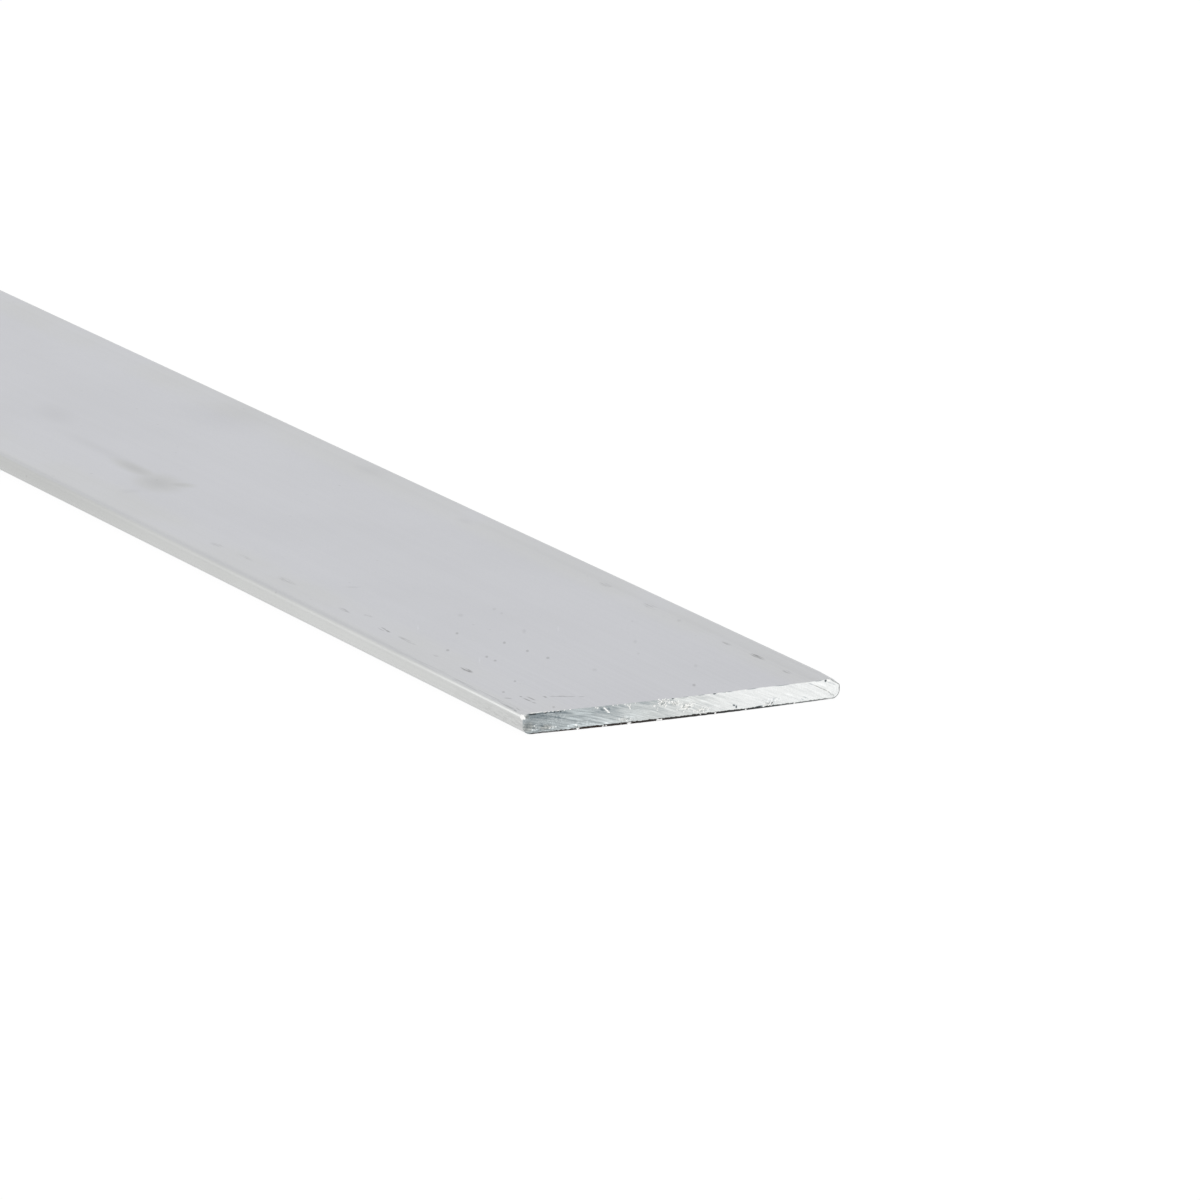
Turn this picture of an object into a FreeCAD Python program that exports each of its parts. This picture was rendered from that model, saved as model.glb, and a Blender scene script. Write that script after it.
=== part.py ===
# Aluminium flat bar, 50 x 3 mm, one metre long.
#
# The real bar is extruded in one piece: its section is a wide, thin rectangle whose four long
# edges are rounded by the die, and its ends are sawn square across.
#
# Row frame: X runs along the bar, Y across its width and Z through its thickness. The origin is
# at the middle of the underside, so the bar lies flat on the plane Z = 0. All sizes are in mm.

import FreeCAD, Part
import math
import os
import Sketcher

# Driving sizes: alias, size and what it measures
SIZES = [
    ("bar_length", 1000.0, "cut length between the two sawn ends"),
    ("bar_width", 50.0, "across the flats, from one narrow side to the other"),
    ("bar_thickness", 3.0, "underside to top face"),
    ("edge_radius", 1.2, "rounding that the die gives the four long edges"),
    ("least_side_flat", 0.2, "flat strip that always stays on each narrow side"),
]
# The rounding never takes the whole narrow side away, however thin the bar is made
ROUNDING_AS_DRAWN = "=min(edge_radius; (bar_thickness - least_side_flat) / 2)"
DERIVED = [
    ("section_radius", ROUNDING_AS_DRAWN, "rounding as drawn"),
]

# Sketcher's numbers for the sketch's two axes and for a line's two ends
X_AXIS, Y_AXIS = -1, -2
START, END = 1, 2

VOLUME_TOLERANCE = 1e-6


def make_sheet(document):
    """The spreadsheet that holds every size, one row each."""
    sheet = document.addObject("Spreadsheet::Sheet", "Sizes")
    rows = [(alias, str(size), meaning) for alias, size, meaning in SIZES] + DERIVED
    for row, (alias, content, meaning) in enumerate(rows, start=1):
        sheet.set(f"A{row}", alias)
        sheet.set(f"B{row}", content)
        sheet.setAlias(f"B{row}", alias)
        sheet.set(f"C{row}", meaning)
    document.recompute()
    return sheet


def origin_plane(body, role):
    """One of the body's own origin planes, found by its role."""
    return next(feature for feature in body.Origin.OriginFeatures if feature.Role == role)


def draw_section(body, sheet):
    """The die's outline on the plane across the bar: four flats joined by four tangent arcs."""
    sketch = body.newObject("Sketcher::SketchObject", "Section")
    sketch.AttachmentSupport = [(origin_plane(body, "YZ_Plane"), "")]
    sketch.MapMode = "FlatFace"

    side = sheet.bar_width / 2
    top = sheet.bar_thickness
    radius = sheet.section_radius
    # How far the middle of each rounding lies inside the two flats that it joins
    inset = radius * (1 - math.cos(math.radians(45)))

    def line(start, end):
        return sketch.addGeometry(
            Part.LineSegment(FreeCAD.Vector(*start), FreeCAD.Vector(*end))
        )

    def arc(start, through, end):
        return sketch.addGeometry(
            Part.Arc(FreeCAD.Vector(*start), FreeCAD.Vector(*through), FreeCAD.Vector(*end))
        )

    underside = line((radius - side, 0), (side - radius, 0))
    lower_right = arc((side - radius, 0), (side - inset, inset), (side, radius))
    right_side = line((side, radius), (side, top - radius))
    upper_right = arc((side, top - radius), (side - inset, top - inset), (side - radius, top))
    top_face = line((side - radius, top), (radius - side, top))
    upper_left = arc((radius - side, top), (inset - side, top - inset), (-side, top - radius))
    left_side = line((-side, top - radius), (-side, radius))
    lower_left = arc((-side, radius), (inset - side, inset), (radius - side, 0))

    # Every flat runs into its arcs without a corner
    joints = [
        (underside, END, lower_right, START),
        (lower_right, END, right_side, START),
        (right_side, END, upper_right, START),
        (upper_right, END, top_face, START),
        (top_face, END, upper_left, START),
        (upper_left, END, left_side, START),
        (left_side, END, lower_left, START),
        (lower_left, END, underside, START),
    ]
    for joint in joints:
        sketch.addConstraint(Sketcher.Constraint("Tangent", *joint))

    # The underside lies on the origin's level and is centred on it, and the sides stand square
    sketch.addConstraint(Sketcher.Constraint("PointOnObject", underside, START, X_AXIS))
    sketch.addConstraint(
        Sketcher.Constraint("Symmetric", underside, START, underside, END, Y_AXIS)
    )
    sketch.addConstraint(Sketcher.Constraint("Horizontal", top_face))
    sketch.addConstraint(Sketcher.Constraint("Vertical", right_side))
    sketch.addConstraint(Sketcher.Constraint("Vertical", left_side))

    # The four arcs share one radius
    for rounding in (upper_right, upper_left, lower_left):
        sketch.addConstraint(Sketcher.Constraint("Equal", lower_right, rounding))

    # Three dimensions, each tied to its cell
    def dimension(alias, kind, *geometry):
        size = sheet.get(alias)
        index = sketch.addConstraint(Sketcher.Constraint(kind, *geometry, size))
        sketch.renameConstraint(index, alias)
        sketch.setExpression(f"Constraints.{alias}", f"{sheet.Name}.{alias}")

    dimension("bar_width", "DistanceX", left_side, START, right_side, START)
    dimension("bar_thickness", "DistanceY", underside, START, top_face, END)
    dimension("section_radius", "Radius", lower_right)
    return sketch


def make_flat_bar(document, sheet):
    """The bar: its section pushed through the die, half its length to each side of the origin."""
    body = document.addObject("PartDesign::Body", "FlatBar")
    body.Label = "flat_bar"
    section = draw_section(body, sheet)
    extrusion = body.newObject("PartDesign::Pad", "Extrusion")
    extrusion.Profile = section
    extrusion.SideType = "Symmetric"
    extrusion.setExpression("Length", f"{sheet.Name}.bar_length")
    body.Placement = FreeCAD.Placement()
    return body


def check_document(document, sub_parts):
    """Stops unless every feature was made and every sub-part is one sound solid."""
    for item in document.Objects:
        if "Invalid" in item.State or "Error" in item.State:
            raise RuntimeError(f"{item.Name} was not made: {item.State}")
        if item.isDerivedFrom("Sketcher::SketchObject") and not item.FullyConstrained:
            raise RuntimeError(f"{item.Name} is not fully constrained")
    for part in sub_parts:
        if part.Shape.isNull() or not part.Shape.isValid() or len(part.Shape.Solids) != 1:
            raise RuntimeError(f"{part.Label} is not one sound solid")


def check_volume(bar, sheet):
    """Stops unless the bar holds its section times its length."""
    corners_lost = (4 - math.pi) * sheet.section_radius**2
    expected = (sheet.bar_width * sheet.bar_thickness - corners_lost) * sheet.bar_length
    if abs(bar.Shape.Volume / expected - 1) > VOLUME_TOLERANCE:
        raise RuntimeError(f"{bar.Label} holds {bar.Shape.Volume} mm3, not {expected} mm3")


document = FreeCAD.newDocument("flat_bar")
sizes = make_sheet(document)
flat_bar = make_flat_bar(document, sizes)
document.recompute()
check_document(document, [flat_bar])
check_volume(flat_bar, sizes)

os.makedirs("parts", exist_ok=True)
flat_bar.Shape.exportStep(f"parts/{flat_bar.Label}.step")
print(f"{flat_bar.Label}: {flat_bar.Shape.BoundBox}, {flat_bar.Shape.Volume:.0f} mm3")
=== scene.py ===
import math
import random

import bmesh
import bpy
from mathutils import Matrix, Vector, noise


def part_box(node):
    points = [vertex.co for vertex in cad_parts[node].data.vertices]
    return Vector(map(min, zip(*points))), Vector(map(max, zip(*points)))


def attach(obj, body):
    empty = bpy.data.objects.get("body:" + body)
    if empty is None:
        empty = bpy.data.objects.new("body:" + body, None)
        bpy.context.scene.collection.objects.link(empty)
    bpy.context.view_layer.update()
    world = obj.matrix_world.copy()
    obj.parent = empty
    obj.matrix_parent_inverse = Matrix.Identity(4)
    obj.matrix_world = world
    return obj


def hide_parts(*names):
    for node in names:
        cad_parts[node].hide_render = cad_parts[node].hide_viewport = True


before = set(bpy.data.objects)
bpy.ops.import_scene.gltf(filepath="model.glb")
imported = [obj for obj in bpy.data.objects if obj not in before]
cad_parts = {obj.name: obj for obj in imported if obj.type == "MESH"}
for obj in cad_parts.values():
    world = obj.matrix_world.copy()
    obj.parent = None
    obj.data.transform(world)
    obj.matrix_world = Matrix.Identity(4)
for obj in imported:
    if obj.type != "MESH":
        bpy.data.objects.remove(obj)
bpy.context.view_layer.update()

# The bar
# One strip of aluminium, pushed through a die that gives it rounded long edges, and left as it
# came: mill finish, with the die's fine lines running along it. It lies flat on the floor.
mm = 0.001
low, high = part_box("flat_bar")
half_width = high.y
thickness = high.z - low.z
edge_radius = 1.2 * mm
# The strip cooled very slightly dished, so its long edges stand this much off the floor
cup = 0.26 * mm

# The section is a fine grid, because both sawn ends show their tooth marks and burrs
rounding_columns = 12
middle_columns = 576
columns = middle_columns + 2 * rounding_columns
rows = 36


def across(column):
    """Where a column of the section's grid stands across the bar, closer set in the roundings."""
    from_side = min(column, columns - column)
    if from_side < rounding_columns:
        turn = math.radians(90) * from_side / rounding_columns
        distance = edge_radius * (1 - math.cos(turn))
    else:
        step = 2 * (half_width - edge_radius) / middle_columns
        distance = edge_radius + (from_side - rounding_columns) * step
    return distance - half_width if column <= columns / 2 else half_width - distance


def half_height(y):
    """Half the section's height there: full on the flats, less in the rounded edges."""
    into_rounding = max(0.0, abs(y) - (half_width - edge_radius))
    drop = edge_radius - math.sqrt(max(0.0, edge_radius**2 - into_rounding**2))
    return thickness / 2 - drop


def lift(y):
    """How far the dished strip's underside stands off the floor there."""
    return cup * (y / half_width) ** 2


bar_mesh = bmesh.new()
bmesh.ops.create_grid(bar_mesh, x_segments=columns, y_segments=rows, size=0.5)
for vertex in bar_mesh.verts:
    y = across(round((vertex.co.x + 0.5) * columns))
    z = low.z + thickness / 2 + 2 * vertex.co.y * half_height(y) + lift(y)
    vertex.co = (low.x, y, z)
extruded = bmesh.ops.extrude_face_region(bar_mesh, geom=bar_mesh.faces[:])
pushed = [part for part in extruded["geom"] if isinstance(part, bmesh.types.BMVert)]
bmesh.ops.translate(bar_mesh, verts=pushed, vec=(high.x - low.x, 0, 0))

# Rings of vertices at these distances from each end, in mm, so that the ragged edges fade into
# the straight bar
ring_distances = (0.1, 0.3, 1.0, 5.0, 60.0, 260.0)
for distance in ring_distances:
    for x in (low.x + distance * mm, high.x - distance * mm):
        bmesh.ops.bisect_plane(
            bar_mesh,
            geom=bar_mesh.verts[:] + bar_mesh.edges[:] + bar_mesh.faces[:],
            plane_co=(x, 0, 0),
            plane_no=(1, 0, 0),
        )
bmesh.ops.recalc_face_normals(bar_mesh, faces=bar_mesh.faces[:])

# Numbers of the three materials. A face that points along the bar belongs to a sawn end
MILL, SAWN, TORN = 0, 1, 2
along_bar = 0.9
for face in bar_mesh.faces:
    face.material_index = SAWN if abs(face.normal.x) > along_bar else MILL
    face.smooth = True


def add_node(tree, kind, inputs=(), **settings):
    """Adds a shader node. An input is a plain value, a socket, or a node that gives its first output."""
    made = tree.nodes.new("ShaderNode" + kind)
    for name, value in settings.items():
        setattr(made, name, value)
    pairs = inputs.items() if isinstance(inputs, dict) else enumerate(inputs)
    for key, value in pairs:
        if isinstance(value, bpy.types.Node):
            value = value.outputs[0]
        if isinstance(value, bpy.types.NodeSocket):
            tree.links.new(value, made.inputs[key])
        else:
            made.inputs[key].default_value = value
    return made


def reckon(tree, operation, *values):
    """A Math node."""
    return add_node(tree, "Math", values, operation=operation)


def ramp(tree, value, start, stop, at_start, at_stop):
    """Goes smoothly from one number to another while a value goes from start to stop."""
    inputs = (value, start, stop, at_start, at_stop)
    return add_node(tree, "MapRange", inputs, interpolation_type="SMOOTHSTEP")


def cloud(tree, place, per_mm, detail=2.0, roughness=0.5):
    """Random cloud from 0 to 1, with so many waves to the millimetre along each axis."""
    stretched = add_node(tree, "Mapping", {"Vector": place, "Scale": per_mm})
    settings = {"Vector": stretched, "Scale": 1.0, "Detail": detail, "Roughness": roughness}
    return add_node(tree, "TexNoise", settings)


def spot(tree, place, centre, size, turn):
    """A soft oval patch: 1 at its centre, and 0 from half of its size outwards."""
    inputs = {
        "Vector": place,
        "Location": centre,
        "Rotation": [math.radians(angle) for angle in turn],
        "Scale": [side / 2 for side in size],
    }
    moved = add_node(tree, "Mapping", inputs, vector_type="TEXTURE")
    return add_node(tree, "TexGradient", [moved], gradient_type="SPHERICAL").outputs["Fac"]


def spots(tree, patches, softness=1.0):
    """Several patches as one, solid in the middle where the softness is below 1."""
    joined = patches[0]
    for patch in patches[1:]:
        joined = reckon(tree, "MAXIMUM", joined, patch)
    return ramp(tree, joined, 0.0, softness, 0.0, 1.0)


def overlap(tree, *masks):
    """Where several masks hold at once."""
    joined = masks[0]
    for mask in masks[1:]:
        joined = reckon(tree, "MULTIPLY", joined, mask)
    return joined


def band(tree, value, start, full, fade, stop):
    """1 while a value is between full and fade, and 0 before start and after stop."""
    rising = ramp(tree, value, start, full, 0.0, 1.0)
    falling = ramp(tree, value, fade, stop, 1.0, 0.0)
    return overlap(tree, rising, falling)


def darken(tree, tone, mask, share):
    """Takes a share of the tone away where the mask is 1. A negative share adds to it."""
    kept = reckon(tree, "MULTIPLY_ADD", mask, -share, 1.0)
    return reckon(tree, "MULTIPLY", tone, kept)


def shaded(tree, colour, tone):
    """A colour multiplied by a tone or by another colour."""
    inputs = {"Fac": 1.0, "Color1": colour, "Color2": tone}
    return add_node(tree, "MixRGB", inputs, blend_type="MULTIPLY")


def start_material(name):
    """A new material, its nodes, and its place in mm from the middle of the underside."""
    material = bpy.data.materials.new(name)
    material.use_nodes = True
    tree = material.node_tree
    tree.nodes.clear()
    coordinates = add_node(tree, "TexCoord").outputs["Object"]
    place = add_node(tree, "Mapping", {"Vector": coordinates, "Scale": [1 / mm] * 3})
    return material, tree, place


def finish_metal(tree, colour, roughness, height, bump_distance):
    """Ends a material as bare metal with a colour, a roughness and a fine relief."""
    bump = add_node(tree, "Bump", {"Height": height, "Distance": bump_distance, "Strength": 1.0})
    inputs = {"Base Color": colour, "Metallic": 1.0, "Roughness": roughness, "Normal": bump}
    metal = add_node(tree, "BsdfPrincipled", inputs)
    add_node(tree, "OutputMaterial", [metal])


length = (high.x - low.x) / mm
width = 2 * half_width / mm
top = thickness / mm

mill, tree, place = start_material("mill_finish")
axes = add_node(tree, "SeparateXYZ", [place])
from_end = reckon(tree, "SUBTRACT", length / 2, axes.outputs["X"])
y_place, z_place = axes.outputs["Y"], axes.outputs["Z"]
off_middle = reckon(tree, "ABSOLUTE", y_place)

# Fine lines drawn by the die, clearest next to the cut, and broad clouds left by handling
die_lines = cloud(tree, place, (0.004, 3.0, 3.0), detail=4.0, roughness=0.7)
drawn_lines = cloud(tree, place, (0.012, 1.3, 1.3), detail=3.0)
broad_lines = cloud(tree, place, (0.002, 0.35, 0.35))
handling = cloud(tree, place, (0.03, 0.05, 0.05), detail=3.0)
fine_grain = cloud(tree, place, (2.0, 5.0, 5.0), detail=3.0, roughness=0.7)
near_cut = ramp(tree, from_end, 0.0, 60.0, 1.0, 0.25)
clear_die_lines = overlap(tree, ramp(tree, die_lines, 0.3, 0.7, 0.0, 1.0), near_cut)
clear_drawn_lines = overlap(tree, ramp(tree, drawn_lines, 0.35, 0.65, -0.5, 0.5), near_cut)
tone = darken(tree, 1.0, clear_die_lines, share=0.045)
tone = darken(tree, tone, clear_drawn_lines, share=0.025)
tone = darken(tree, tone, ramp(tree, broad_lines, 0.35, 0.65, 0.0, 1.0), share=0.012)
tone = darken(tree, tone, ramp(tree, handling, 0.35, 0.7, 0.0, 1.0), share=0.03)
tone = darken(tree, tone, ramp(tree, fine_grain, 0.3, 0.7, 0.0, 1.0), share=0.012)

# The marks are on the top only. The underside is plain, so its place is moved out of their reach,
# by this many mm
far_off = 100.0
off_top = ramp(tree, z_place, 1.2, 1.8, far_off, 0.0)
top_place = add_node(tree, "CombineXYZ", [axes.outputs["X"], y_place, off_top])


def on_top(distance, y, long, wide, lean=0.0):
    """A patch on the top face, placed by its distance from the near sawn end, in mm."""
    centre = (length / 2 - distance, y, 0.0)
    return spot(tree, top_place, centre, (long, wide, far_off), (0, 0, lean))


# Rub marks where bars slid over each other in the bundle, along both long edges
heavy_rubs = [
    on_top(16.7, 20.3, 5.4, 1.1),
    on_top(27.4, -20.7, 4.6, 1.2),
    on_top(54.9, -20.8, 4.6, 1.2),
]
light_rubs = [
    on_top(25.7, 19.9, 3.6, 1.0),
    on_top(6.6, 19.9, 3.2, 1.1),
    on_top(51.2, 20.3, 6.0, 1.6),
    on_top(66.4, 20.4, 5.0, 1.4),
    on_top(37.2, -20.9, 2.2, 0.9),
    on_top(47.4, -20.7, 8.0, 1.0),
    on_top(68.4, -20.8, 5.0, 1.3),
    on_top(63.9, -19.2, 3.2, 1.2),
    on_top(89.4, -20.6, 8.0, 1.8),
    on_top(106.0, -20.0, 7.0, 1.6),
    on_top(115.3, -20.3, 5.0, 1.6),
]
scratchy = ramp(tree, cloud(tree, place, (0.25, 4.2, 1.0)), 0.46, 0.54, 0.0, 1.0)
tone = darken(tree, tone, overlap(tree, spots(tree, heavy_rubs, softness=0.6), scratchy), share=0.66)
fading = ramp(tree, from_end, 50.0, 100.0, 1.0, 0.6)
tone = darken(tree, tone, overlap(tree, spots(tree, light_rubs, softness=0.7), scratchy, fading), share=0.3)
# Nearest the cut the rubbing left separate strokes
strokes = [
    on_top(7.6, -20.62, 3.4, 0.5, 3.0),
    on_top(7.2, -20.61, 1.8, 0.4, 3.0),
    on_top(8.2, -19.76, 3.4, 0.45, 4.0),
    on_top(7.5, -19.76, 1.8, 0.35, 4.0),
    on_top(9.66, -20.63, 0.9, 0.5),
    on_top(5.6, -20.52, 1.1, 0.45, 20.0),
    on_top(8.06, -17.56, 1.2, 0.5),
]
tone = darken(tree, tone, spots(tree, strokes, softness=0.8), share=0.55)

# The clamp dragged fine streaks along the start of the left rounding
dragged = overlap(
    tree,
    ramp(tree, cloud(tree, place, (0.16, 6.0, 6.0), detail=3.0), 0.52, 0.6, -0.6, 0.7),
    band(tree, y_place, -24.8, -24.5, -24.2, -23.7),
    ramp(tree, z_place, 1.6, 2.2, 0.0, 1.0),
    ramp(tree, from_end, 4.0, 60.0, 1.0, 0.0),
)
tone = darken(tree, tone, dragged, share=0.16)
deepest_streaks = [
    on_top(6.2, -24.5, 5.4, 0.18),
    on_top(3.3, -24.55, 1.4, 0.24),
    on_top(3.1, -24.18, 2.6, 0.2, -3.0),
]
tone = darken(tree, tone, spots(tree, deepest_streaks, softness=0.7), share=0.3)

# A skipping scratch near the sawn end, and small pits from grit
grit_lean = -26.0
pits = [
    on_top(6.3, -12.7, 1.2, 0.6, 60.0),
    on_top(6.9, -13.9, 1.2, 0.6, 60.0),
    on_top(7.6, -15.2, 1.6, 1.0, 60.0),
    on_top(8.1, -16.4, 1.2, 0.7, 60.0),
    on_top(8.5, -17.5, 0.9, 0.5, 60.0),
    on_top(5.7, 4.7, 2.2, 0.7, grit_lean),
    on_top(29.5, -6.8, 2.0, 0.7, grit_lean),
    on_top(34.6, -7.6, 2.0, 0.6, grit_lean),
    on_top(40.6, -8.4, 2.2, 0.6, grit_lean),
    on_top(39.6, -17.9, 2.0, 0.7, grit_lean),
    on_top(33.7, -14.5, 1.8, 0.6, grit_lean),
    on_top(31.1, -14.4, 1.6, 0.6, grit_lean),
    on_top(13.1, -21.7, 1.6, 0.6, grit_lean),
    on_top(9.45, -22.75, 1.7, 0.8, 42.0),
    on_top(18.5, -17.3, 1.6, 0.5, grit_lean),
    on_top(2.2, -19.1, 1.4, 0.6, grit_lean),
    on_top(48.7, -12.1, 2.0, 0.6, grit_lean),
]
tone = darken(tree, tone, spots(tree, pits, softness=0.7), share=0.32)
deepest_pits = [
    on_top(7.2, -14.6, 1.5, 0.6, 64.0),
    on_top(7.8, -15.7, 1.4, 0.6, 64.0),
]
tone = darken(tree, tone, spots(tree, deepest_pits, softness=0.7), share=0.3)
faint_pits = [
    on_top(20.2, -3.9, 2.4, 1.0, grit_lean),
    on_top(26.2, 6.0, 1.8, 0.6, grit_lean),
    on_top(60.3, -0.6, 2.4, 0.8, grit_lean),
    on_top(57.4, -0.8, 2.0, 0.7, grit_lean),
    on_top(15.8, 10.0, 2.6, 0.8, grit_lean),
    on_top(32.9, 8.8, 2.8, 0.8, grit_lean),
    on_top(45.9, -2.7, 4.0, 0.8, grit_lean),
    on_top(58.9, -6.7, 3.0, 1.2, grit_lean),
    on_top(81.7, -13.4, 3.0, 1.4, 60.0),
    on_top(41.4, 20.1, 2.4, 0.9, grit_lean),
]
tone = darken(tree, tone, spots(tree, faint_pits, softness=0.8), share=0.12)
shiny_scratches = [
    on_top(32.1, -16.4, 5.0, 0.4, grit_lean),
    on_top(54.1, -15.8, 4.6, 0.4, grit_lean),
    on_top(44.9, 2.3, 5.0, 0.35, grit_lean),
]
tone = darken(tree, tone, spots(tree, shiny_scratches), share=-0.12)

# Old smudges farther along
smudges = [
    on_top(158.2, -10.9, 19.0, 10.0, -12.0),
    on_top(155.8, -8.6, 8.0, 5.0, 34.0),
    on_top(169.0, -10.1, 22.0, 4.6),
]
smudged = spots(tree, smudges)
tone = darken(tree, tone, smudged, share=0.18)
faint_smudges = [
    on_top(182.8, -9.3, 48.0, 4.0),
    on_top(210.9, -5.3, 22.0, 8.0, -12.0),
    on_top(196.5, 18.2, 34.0, 22.0),
    on_top(151.3, 21.6, 13.0, 5.0),
    on_top(113.4, 19.9, 7.0, 3.0),
    on_top(154.5, -17.2, 5.0, 5.6),
]
tone = darken(tree, tone, spots(tree, faint_smudges), share=0.06)

# Rows of specks too small to place one by one
speck_place = add_node(tree, "Mapping", {"Vector": place, "Scale": (0.25, 0.3, 0.3)})
speck_cells = add_node(tree, "TexVoronoi", {"Vector": speck_place, "Scale": 1.0})
speck_choice = add_node(tree, "SeparateColor", [speck_cells.outputs["Color"]])
speck_near = ramp(tree, speck_cells.outputs["Distance"], 0.02, 0.09, 1.0, 0.0)
speck_kept = ramp(tree, speck_choice.outputs["Red"], 0.6, 0.95, 0.0, 1.0)
tone = darken(tree, tone, overlap(tree, speck_near, speck_kept), share=0.2)

# A broad line that the die drew inside the right edge
edge_line = overlap(
    tree,
    band(tree, y_place, 20.3, 21.0, 21.3, 22.2),
    ramp(tree, from_end, 60.0, 160.0, 1.0, 0.5),
)
tone = darken(tree, tone, edge_line, share=0.03)
# The rounded edges and the narrow sides shine more than the flats, and the sides less and less
# farther along
on_rounding = ramp(tree, off_middle, width / 2 - 1.3, width / 2 - 0.9, 0.0, 1.0)
on_side = ramp(tree, off_middle, width / 2 - 0.5, width / 2 - 0.2, 0.0, 1.0)
farther = ramp(tree, from_end, 45.0, 170.0, 0.0, 1.0)
farthest = ramp(tree, from_end, 120.0, 190.0, 0.0, 1.0)
tone = darken(tree, tone, on_rounding, share=-0.03)
tone = darken(tree, tone, on_side, share=-0.06)
tone = darken(tree, tone, overlap(tree, on_side, farther), share=0.11)
tone = darken(tree, tone, overlap(tree, on_side, farthest), share=0.06)
# The rounding that faces the floor is painted darker, as painted shade, and grit has scratched the side
# next to the cut
lower_rounding_painted_shade = overlap(tree, on_rounding, ramp(tree, z_place, 0.6, 1.2, 1.0, 0.0))
tone = darken(tree, tone, lower_rounding_painted_shade, share=0.14)
grit = cloud(tree, place, (0.4, 3.4, 3.4), detail=3.0, roughness=0.7)
side_grit = overlap(
    tree,
    ramp(tree, grit, 0.45, 0.58, 0.0, 1.0),
    on_rounding,
    ramp(tree, z_place, 1.6, 2.6, 1.0, 0.3),
    ramp(tree, from_end, 2.0, 34.0, 1.0, 0.0),
)
tone = darken(tree, tone, side_grit, share=0.13)
# A painted highlight: a bright line painted along the upper roundings, strongest near the cut
painted_highlight_line = overlap(
    tree,
    band(tree, z_place, 2.54, 2.67, 2.76, 2.9),
    ramp(tree, off_middle, 24.3, 24.6, 0.0, 1.0),
    ramp(tree, from_end, 0.0, 48.0, 1.0, 0.0),
)
tone = darken(tree, tone, painted_highlight_line, share=-0.33)

# Bare aluminium is slightly blue, and warmer where the edges were rubbed
rubbed = ramp(tree, handling, 0.35, 0.55, 0.3, 1.0)
warm = overlap(tree, ramp(tree, off_middle, 15.5, 19.5, 0.0, 1.0), rubbed)
warm = reckon(tree, "MAXIMUM", warm, ramp(tree, y_place, -24.0, -22.4, 1.0, 0.0))
warm = reckon(tree, "MAXIMUM", warm, reckon(tree, "MULTIPLY", smudged, 2.0))
cool_grey = (0.550, 0.558, 0.592, 1.0)
warm_grey = (0.550, 0.558, 0.572, 1.0)
side_grey = (0.574, 0.581, 0.573, 1.0)
tint = add_node(tree, "MixRGB", [warm, cool_grey, warm_grey])
tint = add_node(tree, "MixRGB", [on_side, tint, side_grey])
line_depth = 0.004 * mm
dull = reckon(tree, "MULTIPLY_ADD", fine_grain, 0.08, 0.28)
finish_metal(tree, shaded(tree, tint, tone), dull, die_lines, line_depth)

# The sawn ends
# A circular saw cut both ends. Its teeth left shallow arcs about the blade's centre, which was
# below the bar to the left, and a ragged burr where they came out at the bottom. Sizes are in mm.
blade_y = -54.0
blade_z = -146.0


def scratch(radius, along, wide, long, seed):
    """Random ridges and scratches along the arcs, of about this width and length."""
    return noise.noise(Vector((radius / wide, along / long, seed)))


def tooth_marks(y, z):
    """How far the teeth left the sawn face proud, from 0 in the deepest scratch to 1."""
    radius = math.hypot(y - blade_y, z - blade_z)
    along = math.atan2(z - blade_z, y - blade_y) * radius
    coarse = scratch(radius, along, wide=0.9, long=30, seed=3.7)
    fine = scratch(radius, along, wide=0.28, long=9, seed=8.1)
    return 0.5 + 0.3 * coarse + 0.2 * fine


# Rough places where chips welded themselves to the near end: middle and size across and up, and
# how many crumbs stand on a square millimetre
welded_chips = [
    ((-3.1, 2.25), (1.8, 1.5), 18),
    ((-1.2, 1.95), (1.9, 0.9), 9),
    ((0.6, 1.3), (2.6, 1.4), 12),
    ((3.0, 0.55), (2.6, 0.9), 12),
    ((13.6, 0.35), (1.9, 0.8), 8),
    ((-23.0, 0.8), (1.2, 0.8), 5),
    ((-20.2, 0.6), (1.4, 0.6), 7),
    ((-9.2, 0.5), (2.8, 0.8), 8),
    ((-16.6, 0.3), (1.6, 0.4), 7),
]


def roughness_there(y, z):
    """How much of a welded chip covers a place on the sawn face, from 0 to 1."""
    most = 0.0
    for (middle_y, middle_z), (wide, tall), _ in welded_chips:
        distance = math.hypot((y - middle_y) / (wide / 2), (z - middle_z) / (tall / 2))
        most = max(most, 1 - distance**2)
    return max(0.0, most)


# The upper right part of the near end sank under the saw, and its corner was knocked to a slope.
# Both run out a short way along the bar
sunk_from = 12.0
sunk_width = 8.0
sunk_length = 10.0
sunk_depth = 0.12
knocked_from = 23.4
knocked_slope = 0.64
knocked_length = 2.0


def sunk_at_cut(y):
    """How far the top edge of the near end sank there."""
    return sunk_depth * min(1.0, max(0.0, y - sunk_from) / sunk_width)


for vertex in bar_mesh.verts:
    y = vertex.co.y / mm
    from_cut = (high.x - vertex.co.x) / mm
    if y < sunk_from or from_cut > sunk_length:
        continue
    middle = lift(vertex.co.y) / mm + top / 2
    full_height = half_height(vertex.co.y) / mm
    sunk = sunk_at_cut(y) * (1 - from_cut / sunk_length)
    flattened = top / 2 - max(0.0, y - knocked_from) * knocked_slope
    cut_away = max(0.0, full_height - flattened) * max(0.0, 1 - from_cut / knocked_length)
    share = (vertex.co.z / mm - (middle - full_height)) / (2 * full_height)
    vertex.co.z -= share * max(sunk, cut_away) * mm

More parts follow.
